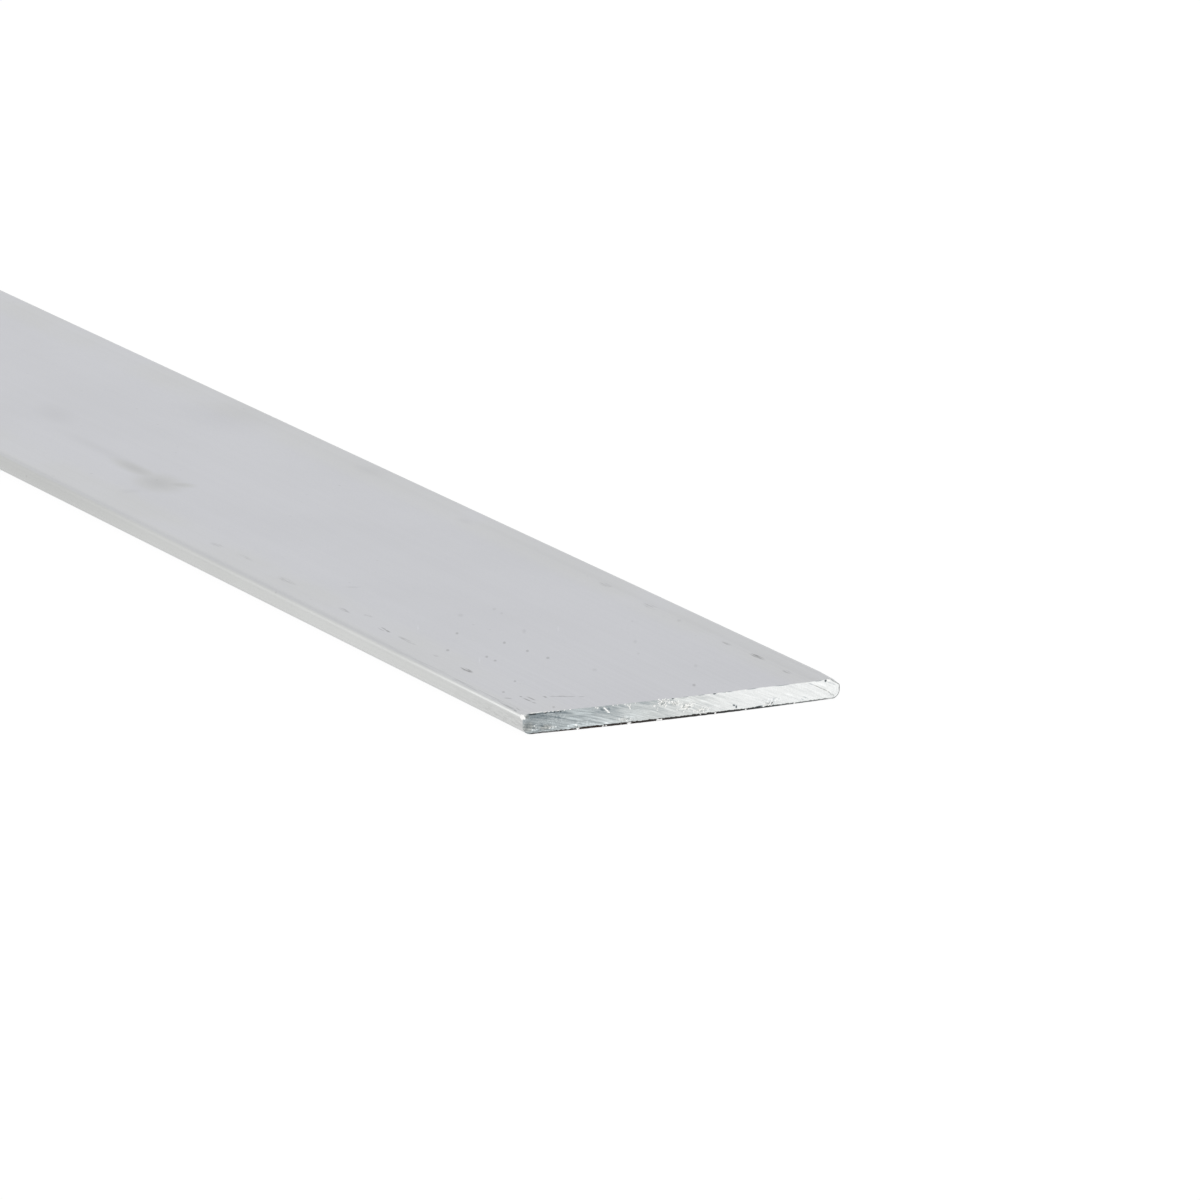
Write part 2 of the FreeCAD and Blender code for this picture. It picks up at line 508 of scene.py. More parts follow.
# Both ends have tooth marks and a ragged lip along the bottom, and the near one the welded chips.
# A chip's grains and the lip's notches are counted to the mm
tooth_depth = 0.03
chip_height = 0.12
chip_grains = 5.0
lip_height = 0.2
lip_stand = 0.1
lip_notches = 1.3
tolerance = 0.001
for vertex in bar_mesh.verts:
    for end, outward in ((high.x, 1), (low.x, -1)):
        if abs(vertex.co.x - end) > tolerance * mm:
            continue
        y = vertex.co.y / mm
        z = vertex.co.z / mm
        proud = tooth_depth * (tooth_marks(y, z) - 1)
        if end == high.x:
            grain = noise.noise(Vector((y * chip_grains, z * chip_grains, outward)))
            proud += chip_height * roughness_there(y, z - cup / mm) * (0.6 + grain)
        ragged = 0.5 + noise.noise(Vector((y * lip_notches, 0.0, 5.0 + outward)))
        above_underside = z - lift(vertex.co.y) / mm
        proud += lip_stand * max(0.0, 1 - above_underside / lip_height) * ragged
        vertex.co.x += outward * proud * mm

sharp_from = math.radians(35)
for edge in bar_mesh.edges:
    edge.smooth = edge.calc_face_angle(0) < sharp_from

# Slivers, beads and crumbs of torn metal that the saw left on the near end
burr_mesh = bmesh.new()
crumple_waves = 2.5
crumple_depth = 0.45


def add_burr(y, z, long, wide, lean=0.0, stand=0.12, fineness=2):
    """Sticks a torn sliver on the near end. It leans up to the right by so many degrees."""
    made = bmesh.ops.create_icosphere(burr_mesh, subdivisions=fineness, radius=0.5)["verts"]
    for vertex in made:
        crumple = noise.noise(vertex.co * crumple_waves + Vector((y, z, 0.0)))
        vertex.co *= 1 + crumple_depth * crumple
    place = Matrix.Translation((high.x, y * mm, z * mm + cup))
    turn = Matrix.Rotation(math.radians(lean), 4, "X")
    size = Matrix.Diagonal((2 * stand * mm, long * mm, wide * mm, 1.0))
    bmesh.ops.transform(burr_mesh, matrix=place @ turn @ size, verts=made)


def edge_height(y):
    """Height of the near end's top edge there, from the level of the long edges' underside."""
    return top + (lift(y * mm) - cup) / mm - sunk_at_cut(y)


# The bead that was pushed over the upper corner, and a curled chip that still hangs on
add_burr(-24.93, 2.53, 0.92, 0.76, lean=-60.0, stand=0.36)
add_burr(-12.14, 2.4, 0.66, 0.32, lean=-44.0, stand=0.16)
add_burr(-11.88, 2.14, 0.66, 0.34, lean=-44.0, stand=0.18)
add_burr(-11.63, 1.88, 0.54, 0.32, lean=-44.0, stand=0.16)
# A forked spur and a few beads
add_burr(-8.45, 2.35, 0.75, 0.16, lean=-50.0)
add_burr(-8.2, 2.5, 0.5, 0.14, lean=80.0)
add_burr(-8.25, 2.0, 0.35, 0.18, lean=-80.0)
add_burr(-13.3, 2.62, 0.3, 0.26)
add_burr(-4.4, 1.98, 0.36, 0.3)
add_burr(23.2, 2.7, 0.66, 0.36, lean=-18.0)
# The feather edge along the top, which stands highest at the left: how far its slivers are raised
# over the edge, and the place and length of each
feather_edge = (
    (0.04, ((-23.4, 0.9), (-22.5, 1.1))),
    (-0.01, ((-21.5, 0.5), (-20.9, 0.3), (-20.3, 0.3), (-19.5, 0.4), (-18.5, 0.3), (-17.6, 0.3))),
    (-0.07, ((-13.6, 0.3), (-10.9, 0.25), (-10.2, 0.2), (-9.0, 0.3), (-7.4, 0.2), (-2.2, 0.5))),
    (-0.07, ((-1.0, 0.3), (4.2, 0.5), (5.7, 0.4), (7.0, 0.3), (8.9, 0.6), (9.9, 0.3))),
    (-0.07, ((13.2, 0.3), (19.6, 0.4))),
)
for raised, slivers in feather_edge:
    for y, long in slivers:
        add_burr(y, edge_height(y) + raised, long, 0.13, lean=1.0, stand=0.07)
# Tips that hang down over the shadow under the bar: place, length and height
hanging_tips = (
    (-16.4, 0.6, 0.28), (-12.45, 0.45, 0.18), (-12.0, 0.35, 0.16), (-9.65, 0.2, 0.12),
    (-8.4, 0.7, 0.28), (-3.85, 0.55, 0.26), (-3.4, 0.5, 0.24), (5.2, 0.35, 0.26), (10.0, 0.3, 0.2),
    (17.75, 0.3, 0.2),
)
tip_rise = 0.13
for y, long, tall in hanging_tips:
    underside = (lift(y * mm) - cup) / mm
    add_burr(y, underside + tip_rise, long, tall, lean=8.0)
add_burr(13.75, 0.24, 0.36, 0.3)
# Crumbs on the welded chips, coarser on the chips of the middle and the right
coarse_from = -4.0
highest_crumb = 0.06
chance = random.Random(7)
for (middle_y, middle_z), (wide, tall), crowding in welded_chips:
    coarser = 1.4 if middle_y > coarse_from else 1.0
    for _ in range(round(crowding * wide * tall)):
        y = middle_y + chance.gauss(0, wide / 4)
        z = min(middle_z + chance.gauss(0, tall / 4), edge_height(y) + highest_crumb)
        size = chance.uniform(0.08, 0.16) * coarser
        lean = chance.uniform(-90, 90)
        add_burr(y, z, size * 1.4, size, lean, stand=0.06, fineness=1)

bmesh.ops.recalc_face_normals(burr_mesh, faces=burr_mesh.faces[:])
for face in burr_mesh.faces:
    face.material_index = TORN
bar_data = bpy.data.meshes.new("mill_finish_bar")
burr_mesh.to_mesh(bar_data)
burr_mesh.free()
bar_mesh.from_mesh(bar_data)

# Where the bar is baked into an image, the sawn ends and the metal next to the near cut get most
# of it: for each distance from the near end, in mm, how far across the image it comes
stretches = ((0.0, 0.01), (60.0, 0.36), (260.0, 0.61), (1000.0, 0.99))


def across_image(x):
    """Place across the image, from 0 to 1, of a point at this x along the bar."""
    from_cut = (high.x - x) / mm
    for (start, start_share), (stop, stop_share) in zip(stretches, stretches[1:]):
        if from_cut <= stop:
            break
    part = (from_cut - start) / (stop - start)
    return start_share + part * (stop_share - start_share)


def round_section(y, z):
    """Distance from the middle of the top or underside, over the rounding and down the side."""
    flat = half_width - edge_radius
    beyond = max(0.0, abs(y) - flat)
    level = abs(z - lift(y) - thickness / 2)
    rounding = math.atan2(beyond, max(0.0, level - (thickness / 2 - edge_radius)) + tolerance * mm)
    side = max(0.0, thickness / 2 - edge_radius - level) if beyond > 0.9 * edge_radius else 0.0
    return math.copysign(min(abs(y), flat) + edge_radius * rounding + side, y)


# The image's bottom third holds the two sawn ends and the torn metal, in a strip each. The top face
# and the underside have the other thirds, each with its half of the sides
near_strips = {SAWN: 0.01, TORN: 0.17}
far_strip_rise = 0.08
end_strip_height = 0.07
end_map_width = 2 * half_width + 1.2 * mm
end_map_height = thickness + 0.6 * mm
below_end = 0.1 * mm
top_strip = 0.34
underside_strip = 0.67
long_strip_height = 0.32
unrolled_width = 2 * half_width + 2.2 * mm
image_map = bar_mesh.loops.layers.uv.new("OFBake")
for face in bar_mesh.faces:
    middle = face.calc_center_median()
    for loop in face.loops:
        x, y, z = loop.vert.co
        if face.material_index == MILL:
            strip = top_strip if middle.z > lift(middle.y) + thickness / 2 else underside_strip
            share = 0.5 + round_section(y, z) / unrolled_width
            loop[image_map].uv = (across_image(x), strip + long_strip_height * share)
        else:
            strip = near_strips[face.material_index] + (0.0 if middle.x > 0 else far_strip_rise)
            share_up = (z + below_end) / end_map_height
            loop[image_map].uv = (0.5 + y / end_map_width, strip + end_strip_height * share_up)
bar_mesh.to_mesh(bar_data)
bar_mesh.free()

sawn, tree, place = start_material("sawn_face")
axes = add_node(tree, "SeparateXYZ", [place])
y_place, z_place = axes.outputs["Y"], axes.outputs["Z"]
dish = overlap(tree, y_place, y_place, cup / mm / (width / 2) ** 2)
above_underside = reckon(tree, "SUBTRACT", z_place, dish)

# Arcs of the saw teeth: their distance from the blade's centre, and the length along them, which
# is near enough the same on every arc
mean_radius = 150.0
from_blade_y = reckon(tree, "SUBTRACT", y_place, blade_y)
from_blade_z = reckon(tree, "SUBTRACT", z_place, blade_z)
flat_place = add_node(tree, "CombineXYZ", [from_blade_y, from_blade_z])
arc_radius = add_node(tree, "VectorMath", [flat_place], operation="LENGTH").outputs["Value"]
arc_turn = reckon(tree, "ARCTAN2", from_blade_z, from_blade_y)
arc_length = reckon(tree, "MULTIPLY", arc_turn, mean_radius)
arc_place = add_node(tree, "CombineXYZ", [arc_radius, arc_length])
fine_arcs = cloud(tree, arc_place, (5.5, 0.3, 1.0), detail=4.0, roughness=0.75)
clear_arcs = cloud(tree, arc_place, (2.8, 0.25, 3.0), roughness=0.6)
broad_arcs = cloud(tree, arc_place, (1.5, 0.12, 1.0))
crumbly = cloud(tree, place, (1.0, 5.0, 5.0), detail=3.0, roughness=0.7)
gritty = cloud(tree, place, (1.0, 2.3, 2.6), roughness=0.6)

# The face turns from dark and bluish on the left to nearly white on the right: partly a finish that changes
# across the cut, partly painted reflection, dark on the left and bright on the right
across_face = ramp(tree, y_place, -width / 2, width / 2, 0.0, 1.0)
across_face.interpolation_type = "LINEAR"
face_shades = (
    (0.02, (0.370, 0.405, 0.415, 1.0)),
    (0.2, (0.46, 0.50, 0.51, 1.0)),
    (0.5, (0.70, 0.72, 0.71, 1.0)),
    (0.7, (0.860, 0.875, 0.870, 1.0)),
)
shades = add_node(tree, "ValToRGB", [across_face])
stops = shades.color_ramp.elements
stops.remove(stops[1])
stops[0].position, stops[0].color = face_shades[0]
for position, colour in face_shades[1:]:
    stops.new(position).color = colour
contrast = ramp(tree, y_place, -20.0, 12.0, 0.46, 0.1)
fine_streaks = ramp(tree, fine_arcs, 0.34, 0.66, -0.5, 0.5)
clear_streaks = ramp(tree, clear_arcs, 0.36, 0.64, -0.35, 0.35)
broad_streaks = ramp(tree, broad_arcs, 0.3, 0.7, -0.22, 0.22)
streaks = reckon(tree, "ADD", reckon(tree, "ADD", fine_streaks, clear_streaks), broad_streaks)
tone = reckon(tree, "MULTIPLY_ADD", streaks, contrast, 1.0)

# The marks are on the near end only, because they end within this distance of it, in mm. The far
# end is sawn plainly
reach = 200.0


def on_face(y, z, long, tall, lean=0.0):
    """A patch on the near sawn end, in mm, that leans up to the right by so many degrees."""
    centre = ((length - reach) / 2, y, z + cup / mm)
    return spot(tree, place, centre, (2 * reach, long, tall), (lean, 0, 0))


# The streaks are sharpest right of the welded chips
extra_contrast = 0.26
sharp_place = spots(tree, [on_face(1.2, 1.9, 11.0, 2.8, -8.0)])
sharp_streaks = overlap(tree, streaks, sharp_place)
tone = reckon(tree, "MULTIPLY_ADD", sharp_streaks, extra_contrast, tone)
# The corner on the left, where the blade went in, is darker: partly a duller finish, partly painted dark
# reflection
dull_and_painted_dark_corner = [
    on_face(-22.2, 2.4, 6.4, 1.2, -5.0),
    on_face(-24.4, 1.2, 1.6, 1.2),
    on_face(-22.0, 0.95, 2.4, 0.9),
    on_face(-18.6, 2.45, 6.0, 0.7, -7.0),
    on_face(-20.8, 0.9, 0.7, 0.4),
]
tone = darken(tree, tone, spots(tree, dull_and_painted_dark_corner, softness=0.7), share=0.36)
duller_streaks = [
    on_face(-22.6, 2.55, 4.0, 0.6, -4.0),
    on_face(-20.6, 2.05, 4.4, 0.7, -8.0),
    on_face(-19.6, 1.7, 2.4, 0.7, -10.0),
    on_face(-24.35, 2.45, 0.6, 0.9),
    on_face(-21.2, 0.45, 1.4, 0.6),
]
tone = darken(tree, tone, spots(tree, duller_streaks, softness=0.7), share=0.2)
dullest_streaks = [
    on_face(-21.5, 1.8, 2.2, 0.7, -8.0),
    on_face(-20.0, 2.42, 3.0, 0.45, -5.0),
    on_face(-16.3, 2.42, 3.2, 0.5, -5.0),
]
tone = darken(tree, tone, spots(tree, dullest_streaks, softness=0.7), share=0.2)
# Grit that was dragged over the corner mottled it
mottled = overlap(
    tree,
    ramp(tree, crumbly, 0.35, 0.62, -0.5, 0.5),
    ramp(tree, y_place, -20.0, -17.5, 1.0, 0.25),
)
tone = darken(tree, tone, mottled, share=0.34)
dull_lines = [
    on_face(-23.6, 2.33, 1.5, 0.2, -8.0),
    on_face(-21.4, 1.93, 2.6, 0.22, -9.0),
    on_face(-15.5, 2.3, 2.4, 0.18, -8.0),
    on_face(-13.9, 1.75, 2.0, 0.16, -10.0),
    on_face(-24.25, 2.5, 0.6, 0.6),
    on_face(-24.0, 2.6, 0.8, 0.4),
]
tone = darken(tree, tone, spots(tree, dull_lines, softness=0.6), share=0.28)
# Off the left rounding the face catches the light again
left_light = overlap(
    tree,
    ramp(tree, y_place, -24.9, -24.2, 1.0, 0.0),
    ramp(tree, above_underside, 1.8, 2.4, 1.0, 0.0),
)
tone = darken(tree, tone, left_light, share=-0.3)
lit_facets = [
    on_face(-23.1, 1.6, 2.4, 0.35, -12.0),
    on_face(-23.5, 0.5, 2.4, 0.9, 4.0),
    on_face(-19.6, 2.86, 4.4, 0.36, 1.0),
    on_face(-20.0, 1.2, 2.4, 0.5, -8.0),
    on_face(-19.4, 0.8, 3.2, 0.8, -4.0),
    on_face(-9.1, 0.5, 2.8, 0.8),
    on_face(5.6, 0.7, 2.4, 0.9, -8.0),
    on_face(21.2, 2.4, 3.4, 0.8, -24.0),
    on_face(23.4, 1.3, 2.0, 1.4),
    on_face(24.3, 1.9, 1.2, 0.8),
    on_face(21.9, 2.3, 2.6, 0.6, -24.0),
    on_face(24.3, 1.2, 0.8, 1.2),
    on_face(16.9, 1.3, 2.4, 0.7, -20.0),
    on_face(13.8, 1.4, 1.6, 0.5, -20.0),
    on_face(23.35, 2.5, 1.0, 0.5, -20.0),
    on_face(22.6, 1.95, 1.6, 0.5, -28.0),
    on_face(0.6, 2.3, 2.0, 0.3, -14.0),
    on_face(3.2, 1.9, 3.4, 0.35, -16.0),
]
tone = darken(tree, tone, spots(tree, lit_facets, softness=0.8), share=-0.15)
brightest_facets = [
    on_face(-23.7, 0.42, 2.6, 1.0, 4.0),
    on_face(-23.5, 0.4, 2.2, 0.5, 6.0),
    on_face(-22.7, 0.6, 1.4, 0.9),
    on_face(-20.2, 0.6, 1.2, 0.5),
    on_face(-17.2, 0.5, 2.6, 0.6),
    on_face(-11.9, 0.3, 1.2, 0.4),
]
tone = darken(tree, tone, spots(tree, brightest_facets, softness=0.6), share=-0.4)
# Crumbs that catch the light
shiny_crumbs = [
    on_face(-23.14, 1.08, 0.4, 0.4),
    on_face(-22.96, 0.8, 0.36, 0.4, 50.0),
    on_face(-23.45, 0.58, 0.5, 0.3),
    on_face(-22.8, 0.56, 0.36, 0.3),
    on_face(-20.78, 0.62, 0.36, 0.4),
    on_face(-20.3, 0.54, 0.5, 0.6),
    on_face(-19.84, 0.58, 0.5, 0.5),
    on_face(-17.9, 0.5, 0.4, 0.5),
    on_face(-16.7, 0.5, 0.5, 0.5),
    on_face(-9.9, 0.76, 0.6, 0.3),
    on_face(-8.6, 0.8, 0.5, 0.3),
]
tone = darken(tree, tone, spots(tree, shiny_crumbs, softness=0.4), share=-0.5)
bright_streaks = [
    on_face(-0.4, 2.35, 2.8, 0.5, -14.0),
    on_face(0.9, 2.1, 2.6, 0.45, -16.0),
    on_face(3.2, 1.75, 3.2, 0.5, -18.0),
    on_face(5.4, 1.0, 2.6, 0.5, -18.0),
]
tone = darken(tree, tone, spots(tree, bright_streaks, softness=0.6), share=-0.13)
bright_middle = spots(tree, [on_face(0.7, 2.15, 5.0, 1.1, -14.0)], softness=0.8)
tone = darken(tree, tone, bright_middle, share=-0.08)
dull_middle = spots(tree, [on_face(3.5, 2.3, 2.0, 0.6, -18.0)], softness=0.6)
tone = darken(tree, tone, dull_middle, share=0.12)
# Grit and crumbs mottle the corner, the middle and the foot of the face
mottling = [
    on_face(-22.6, 0.8, 6.0, 2.2),
    on_face(-19.4, 2.0, 3.6, 2.0),
    on_face(-15.5, 0.7, 7.0, 1.4),
    on_face(-8.8, 0.6, 5.0, 1.4),
    on_face(0.8, 1.2, 5.6, 2.2, -10.0),
    on_face(3.4, 0.6, 4.0, 1.4),
    on_face(14.4, 0.7, 5.0, 1.6),
]
grit_tone = ramp(tree, gritty, 0.38, 0.62, -0.5, 0.5)
tone = darken(tree, tone, overlap(tree, spots(tree, mottling, softness=0.6), grit_tone), share=0.42)
# Towards the top it is a little darker, left of the middle
upper_part = overlap(
    tree,
    band(tree, y_place, -16.0, -12.0, -4.0, 1.0),
    ramp(tree, above_underside, 1.2, 2.6, 0.0, 1.0),
)
tone = darken(tree, tone, upper_part, share=0.08)
# A band of fine burr that catches the light along the bottom on the left
light_band = overlap(
    tree,
    band(tree, y_place, -23.0, -18.0, -13.0, -5.0),
    ramp(tree, above_underside, 0.3, 1.0, 1.0, 0.0),
    crumbly,
)
tone = darken(tree, tone, light_band, share=-0.45)
# Painted shadow under the burr along the top edge, in patches that leave a dark line where they run
# together
top_edge_painted_shadows = [
    on_face(y, edge_height(y) - below, long, 0.34, lean)
    for y, below, long, lean in (
        (-23.7, 0.18, 1.3, -3.0),
        (-23.3, 0.2, 1.8, -2.0),
        (-21.35, 0.14, 0.8, 0.0),
        (-20.0, 0.14, 0.5, 0.0),
        (-19.5, 0.12, 0.7, 8.0),
        (-19.05, 0.18, 0.4, -30.0),
        (-1.5, 0.06, 0.6, 0.0),
        (5.1, 0.05, 0.8, 0.0),
    )
]
tone = darken(tree, tone, spots(tree, top_edge_painted_shadows, softness=0.45), share=0.85)
# Softer painted shadow under the burr on the left of the top edge
softer_top_edge_shadows = [
    on_face(y, edge_height(y) - 0.16, long, 0.34)
    for y, long in ((-22.1, 3.0), (-20.6, 1.4))
]
tone = darken(tree, tone, spots(tree, softer_top_edge_shadows, softness=0.5), share=0.5)
# Faint painted shadow under the burr along the middle and right of the top edge
faint_top_edge_shadows = [
    on_face(y, edge_height(y) - 0.02, long, 0.2)
    for y, long in ((0.5, 1.4), (3.0, 1.6), (7.2, 2.6), (11.0, 2.4), (15.8, 3.4), (21.6, 1.8))
]
tone = darken(tree, tone, spots(tree, faint_top_edge_shadows, softness=0.4), share=0.6)
# Painted shade in a groove down to the right end, and in small gouges, none of which the mesh cuts
grooves = [
    on_face(21.35, 2.02, 1.7, 0.28, -26.0),
    on_face(21.9, 1.72, 1.6, 0.24, -27.0),
    on_face(22.6, 1.38, 1.8, 0.28, -27.0),
    on_face(23.3, 0.95, 1.0, 0.26, -38.0),
    on_face(23.6, 0.62, 0.6, 0.28, -60.0),
    on_face(23.95, 0.5, 0.7, 0.28, -50.0),
    on_face(24.95, 1.4, 0.4, 1.2),
]
tone = darken(tree, tone, spots(tree, grooves, softness=0.5), share=0.4)
# Fainter painted shade in shallow grooves
shallow_groove_painted_shade = [
    on_face(20.5, 2.42, 1.6, 0.28, -24.0),
    on_face(19.5, 0.62, 1.6, 0.26, -24.0),
    on_face(19.1, 0.35, 1.0, 0.26, -35.0),
    on_face(23.4, 2.34, 1.0, 0.28, -20.0),
    on_face(24.1, 2.02, 1.2, 0.26, -28.0),
]
tone = darken(tree, tone, spots(tree, shallow_groove_painted_shade, softness=0.5), share=0.26)
# Painted shade in the small gouges
gouge_painted_shade = [
    on_face(8.18, 0.68, 0.72, 0.36, -20.0),
    on_face(8.55, 0.42, 0.42, 0.66),
    on_face(14.3, 0.34, 0.7, 0.8),
    on_face(22.73, 2.69, 0.5, 0.66),
    on_face(12.1, 0.08, 2.0, 0.32, 4.0),
]
tone = darken(tree, tone, spots(tree, gouge_painted_shade, softness=0.45), share=0.88)
faint_gouge_painted_shade = spots(tree, [on_face(12.85, 0.75, 0.5, 0.5)], softness=0.6)
tone = darken(tree, tone, faint_gouge_painted_shade, share=0.2)
chip_shadow = [
    on_face(-12.62, 2.3, 1.3, 0.6, -42.0),
    on_face(-11.5, 2.3, 0.9, 0.5, -42.0),
]
tone = darken(tree, tone, spots(tree, chip_shadow, softness=0.6), share=0.4)
# Welded chips are lighter, with painted shade in the gaps between their crumbs
chips = [on_face(y, z, wide, tall) for (y, z), (wide, tall), _ in welded_chips]
chip_tone_and_gap_shade = ramp(tree, gritty, 0.4, 0.6, -0.4, 0.9)
tone = darken(tree, tone, overlap(tree, spots(tree, chips, softness=0.7), chip_tone_and_gap_shade), share=0.5)
# The near end's right rounding turned over a little at its edge, and so did the slope of the knocked
# corner. Both are painted as a dark rim, as shade for the turned-over edges, which the mesh doesn't have.
# The rim is where the distance from the rounding's centre comes close to its radius
corner_radius = edge_radius / mm
into_side = reckon(tree, "SUBTRACT", y_place, width / 2 - corner_radius)
off_centre = reckon(tree, "ABSOLUTE", reckon(tree, "SUBTRACT", above_underside, top / 2))
into_height = reckon(tree, "SUBTRACT", off_centre, top / 2 - corner_radius)
past_flats = [reckon(tree, "MAXIMUM", distance, 0.0) for distance in (into_side, into_height)]
rounding_place = add_node(tree, "CombineXYZ", past_flats)
from_corner = add_node(tree, "VectorMath", [rounding_place], operation="LENGTH").outputs["Value"]
round_rim = overlap(
    tree,
    ramp(tree, from_corner, corner_radius - 0.16, corner_radius - 0.08, 0.0, 1.0),
    ramp(tree, y_place, 23.2, 24.0, 0.0, 1.0),
)
slope_fall = reckon(tree, "MULTIPLY_ADD", y_place, knocked_slope, -knocked_slope * knocked_from - top)
above_slope = reckon(tree, "ADD", above_underside, slope_fall)
slope_rim = overlap(
    tree,
    ramp(tree, above_slope, -0.2, -0.12, 0.0, 1.0),
    ramp(tree, y_place, 23.4, 23.7, 0.0, 1.0),
)
rim = overlap(
    tree,
    reckon(tree, "MAXIMUM", round_rim, slope_rim),
    ramp(tree, axes.outputs["X"], -1.0, 1.0, 0.0, 1.0),
    ramp(tree, crumbly, 0.35, 0.5, 0.4, 1.0),
)
tone = darken(tree, tone, rim, share=0.6)
# The lip at the bottom turns under into the shadow, thinner at its two ends
lip_wave = cloud(tree, place, (0.1, 1.3, 0.1), detail=4.0, roughness=0.7)
lip_left = ramp(tree, y_place, -17.2, -15.8, 0.19, 0.31)
lip_left = reckon(tree, "SUBTRACT", lip_left, ramp(tree, y_place, -24.2, -22.0, 0.09, 0.0))
lip_right = ramp(tree, y_place, 2.0, 22.0, 0.0, 0.13)
lip_top = reckon(tree, "SUBTRACT", lip_left, lip_right)
lip_top = reckon(tree, "ADD", lip_top, ramp(tree, lip_wave, 0.3, 0.7, -0.07, 0.07))
lip = overlap(
    tree,
    ramp(tree, reckon(tree, "SUBTRACT", above_underside, lip_top), -0.03, 0.03, 1.0, 0.0),
    ramp(tree, y_place, -24.4, -23.6, 0.0, 1.0),
    ramp(tree, y_place, -20.6, -18.6, 0.75, 0.97),
    ramp(tree, y_place, 12.0, 20.0, 1.0, 0.8),
    ramp(tree, y_place, 22.0, 24.0, 1.0, 0.3),
)
darkest = 0.03
tone = reckon(tree, "MAXIMUM", tone, darkest)

# Scratches that face away mirror the room's bluish side
untinted = (1.0, 1.0, 1.0, 1.0)
turned_away = ramp(tree, tone, 0.5, 1.0, 1.0, 0.0)
bluish = add_node(tree, "MixRGB", [turned_away, untinted, (0.93, 1.0, 1.05, 1.0)])
face_grey = shaded(tree, shaded(tree, shades, tone), bluish)
# Rubbed and torn places are slightly brown, and so are the grooves, the rim and the chips
brown_places = [
    on_face(-24.2, 1.0, 3.4, 2.2),
    on_face(-21.4, 0.7, 3.0, 1.2),
    on_face(-24.3, 2.5, 1.2, 0.9),
    on_face(-23.5, 2.85, 2.0, 0.4),
]
beige_chips = reckon(tree, "MULTIPLY", spots(tree, chips, softness=0.5), 0.5)
brown = reckon(tree, "MAXIMUM", spots(tree, brown_places + grooves, softness=0.5), rim)
brown = reckon(tree, "MAXIMUM", brown, beige_chips)
brownish = add_node(tree, "MixRGB", [brown, untinted, (1.06, 1.005, 0.95, 1.0)])
face_grey = shaded(tree, face_grey, brownish)
# The lip's shadow is brown on the left and grey on the right
brown_shadow = (0.030, 0.014, 0.009, 1.0)
grey_shadow = (0.022, 0.032, 0.034, 1.0)
lip_shadow = add_node(tree, "MixRGB", [across_face, brown_shadow, grey_shadow])
face_grey = add_node(tree, "MixRGB", [lip, face_grey, lip_shadow])
dull = reckon(tree, "MULTIPLY_ADD", broad_arcs, 0.2, 0.3)
finish_metal(tree, face_grey, dull, fine_arcs, tooth_depth * mm)

# Torn metal is bright and slightly warm, and each facet shines differently
torn, tree, place = start_material("torn_burr")
facets = cloud(tree, place, (3.0, 3.0, 3.0), detail=3.0, roughness=0.7)
facet_depth = 0.02 * mm
warmth = 0.985
torn_tone = ramp(tree, facets, 0.34, 0.42, 0.92, 1.0)
torn_blue = reckon(tree, "MULTIPLY", torn_tone, warmth)
torn_grey = add_node(tree, "CombineColor", [torn_tone, torn_tone, torn_blue])
torn_dull = ramp(tree, facets, 0.3, 0.7, 0.45, 0.25)
finish_metal(tree, torn_grey, torn_dull, facets, facet_depth)

for material in (mill, sawn, torn):
    bar_data.materials.append(material)
bar = bpy.data.objects.new("mill_finish_bar", bar_data)
bpy.context.scene.collection.objects.link(bar)
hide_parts("flat_bar")
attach(bar, "root")

# The floor and backdrop
# A plain white studio floor that runs out into a white surround. It is no part of the object.
floor_half_width = 15.0
below_bar = 0.02 * mm
floor_glow = 0.92
floor_paint = (0.16, 0.16, 0.16, 1.0)
room_light = 0.6
floor_mesh = bmesh.new()
bmesh.ops.create_grid(floor_mesh, x_segments=8, y_segments=8, size=floor_half_width)
floor_data = bpy.data.meshes.new("floor")
floor_mesh.to_mesh(floor_data)
floor_mesh.free()
floor = bpy.data.objects.new("floor", floor_data)
floor.location.z = -below_bar
bpy.context.scene.collection.objects.link(floor)


def seen_or_mirrored(tree):
    """1 for what the camera sees, directly, mirrored in metal or through glass, and 0 otherwise."""
    paths = add_node(tree, "LightPath").outputs
    mirrored = reckon(tree, "MAXIMUM", paths["Is Glossy Ray"], paths["Is Transmission Ray"])
    return reckon(tree, "MAXIMUM", paths["Is Camera Ray"], mirrored)


white = bpy.data.materials.new("white_floor")
white.use_nodes = True
tree = white.node_tree
tree.nodes.clear()
glow = reckon(tree, "MULTIPLY", seen_or_mirrored(tree), floor_glow)
paint = add_node(tree, "BsdfDiffuse", {"Color": floor_paint})
light = add_node(tree, "Emission", {"Strength": glow})
both = add_node(tree, "AddShader", [paint, light])
add_node(tree, "OutputMaterial", [both])
floor_data.materials.append(white)

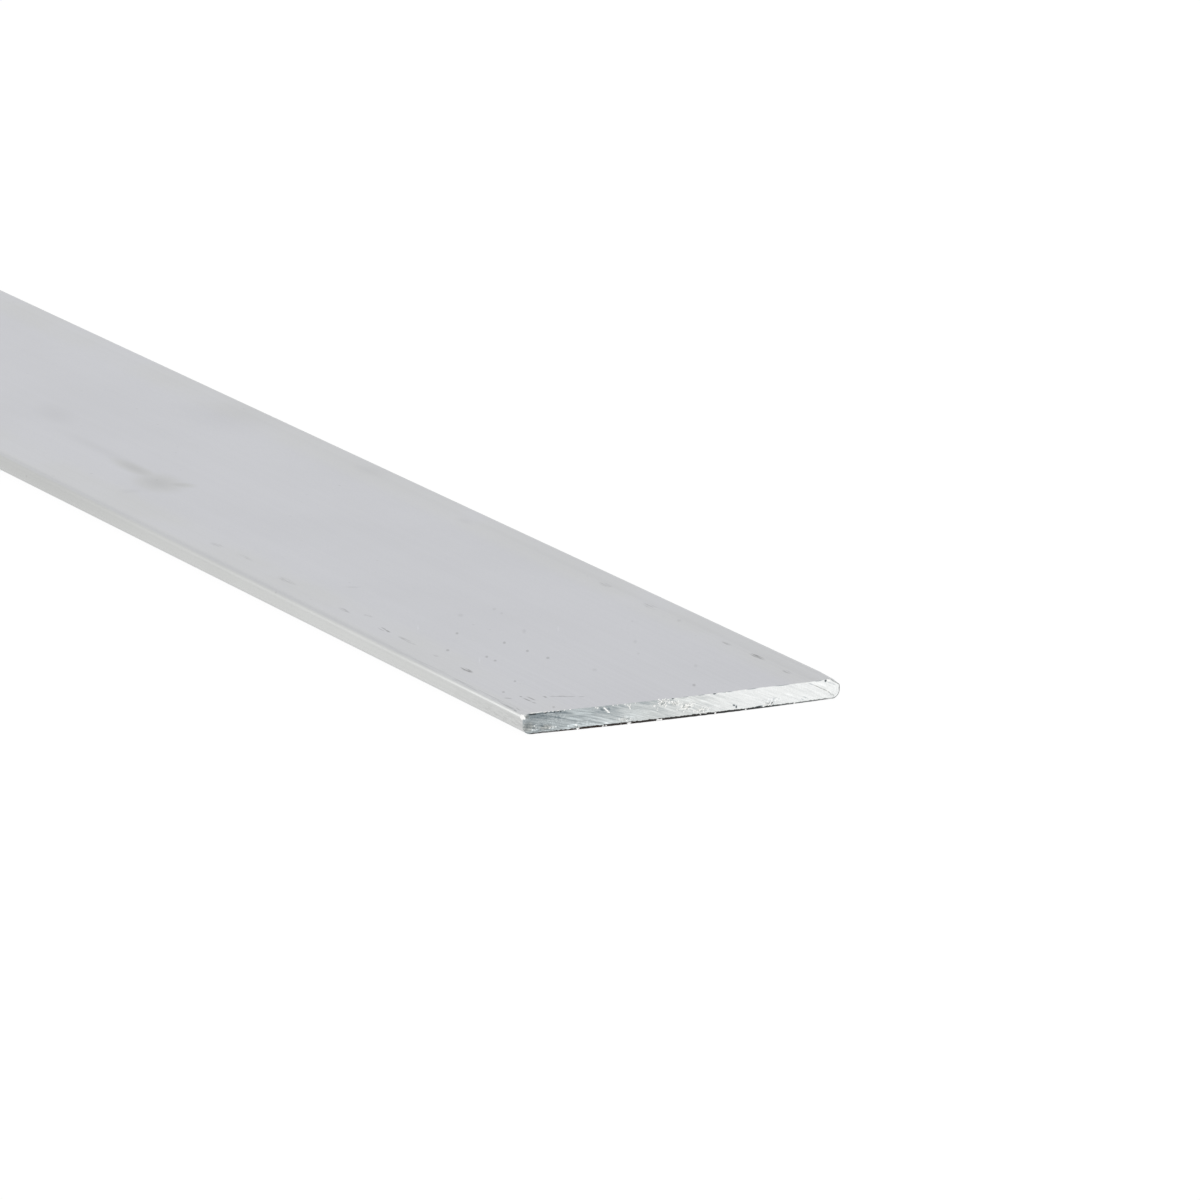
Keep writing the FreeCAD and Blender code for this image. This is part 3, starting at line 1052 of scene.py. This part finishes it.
# White all round, and a little dimmer overhead, as a room above a lit table is
world = bpy.data.worlds.new("studio")
bpy.context.scene.world = world
world.use_nodes = True
tree = world.node_tree
tree.nodes.clear()
direction = add_node(tree, "TexCoord").outputs["Generated"]
height = add_node(tree, "SeparateXYZ", [direction]).outputs["Z"]
surround = ramp(tree, height, 0.45, 0.9, 1.0, 0.62)
shown = {"Value": seen_or_mirrored(tree), "To Min": room_light, "To Max": surround}
level = add_node(tree, "MapRange", shown)
sky = add_node(tree, "Background", {"Color": (1.0, 1.0, 1.0, 1.0), "Strength": level})
add_node(tree, "OutputWorld", [sky])

# A soft lamp beyond the bar on the left, which draws a bright line along the near rounded edge
lamp_data = bpy.data.lights.new("soft_lamp", "AREA")
lamp_data.shape = "DISK"
lamp_data.size = 0.12
lamp_data.energy = 0.012
lamp = bpy.data.objects.new("soft_lamp", lamp_data)
lamp_spot = Vector((-0.024, -0.283, 0.138))
lamp_aim = Vector((high.x, -half_width, 0.0))
lamp.location = lamp_spot
lamp.rotation_mode = "QUATERNION"
lamp.rotation_quaternion = (lamp_aim - lamp_spot).to_track_quat("-Z", "Y")
lamp.visible_camera = False
bpy.context.scene.collection.objects.link(lamp)

# The camera
# A long lens that looks down on the near end of the bar, as the photograph does.
photo_side = 1200
focal_pixels = 11078
view_turn = math.radians(153.945)
view_drop = math.radians(13.301)
view_distance = 1563.7 * mm
level_forward = Vector((math.cos(view_turn), math.sin(view_turn), 0.0))
forward = level_forward * math.cos(view_drop) - Vector((0.0, 0.0, math.sin(view_drop)))
right = Vector((math.sin(view_turn), -math.cos(view_turn), 0.0))
up = right.cross(forward)
near_end = Vector((high.x, 0.0, cup))
aim_left = 11.608 * mm
aim_above = 16.382 * mm
aim = near_end - right * aim_left + up * aim_above
camera_data = bpy.data.cameras.new("camera")
camera_data.sensor_width = 36.0
camera_data.lens = camera_data.sensor_width * focal_pixels / photo_side
camera_data.clip_start = 0.05
camera_data.clip_end = 100.0
camera = bpy.data.objects.new("camera", camera_data)
camera.location = aim - forward * view_distance
camera.rotation_mode = "QUATERNION"
camera.rotation_quaternion = forward.to_track_quat("-Z", "Y")
bpy.context.scene.collection.objects.link(camera)
bpy.context.scene.camera = camera
bpy.context.scene.view_settings.view_transform = "Standard"
